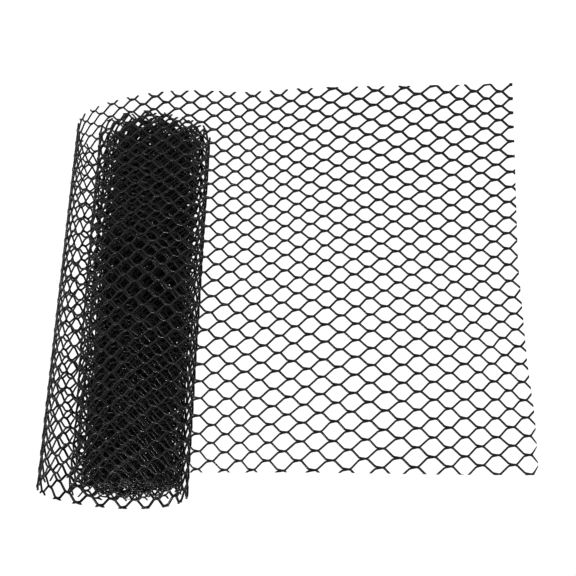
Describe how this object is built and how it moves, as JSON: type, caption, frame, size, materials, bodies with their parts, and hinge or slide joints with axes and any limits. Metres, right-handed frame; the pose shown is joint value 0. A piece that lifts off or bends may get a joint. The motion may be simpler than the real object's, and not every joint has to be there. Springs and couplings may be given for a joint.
{
  "type": "roll of plastic mesh safety netting, partly unrolled",
  "caption": "Black plastic hexagonal mesh netting for balconies, partly unrolled: flat apron, one loose turn and a tight oval roll, standing on end.",
  "frame": {"origin": "centre of the floor area that the netting covers, on the surface it stands on", "axes": "+X from the flat apron's free end towards the roll, -Y is the side the apron faces, +Z along the roll, upwards from the end it stands on"},
  "size_m": [0.4642, 0.1493, 0.4],
  "materials": {
    "net_strands": "satin black extruded plastic",
    "net_wound": "satin black extruded plastic, many turns deep"
  },
  "bodies": {
    "root": {"wound_roll": "net_wound", "loose_net": "net_strands"}
  },
  "joints": []
}
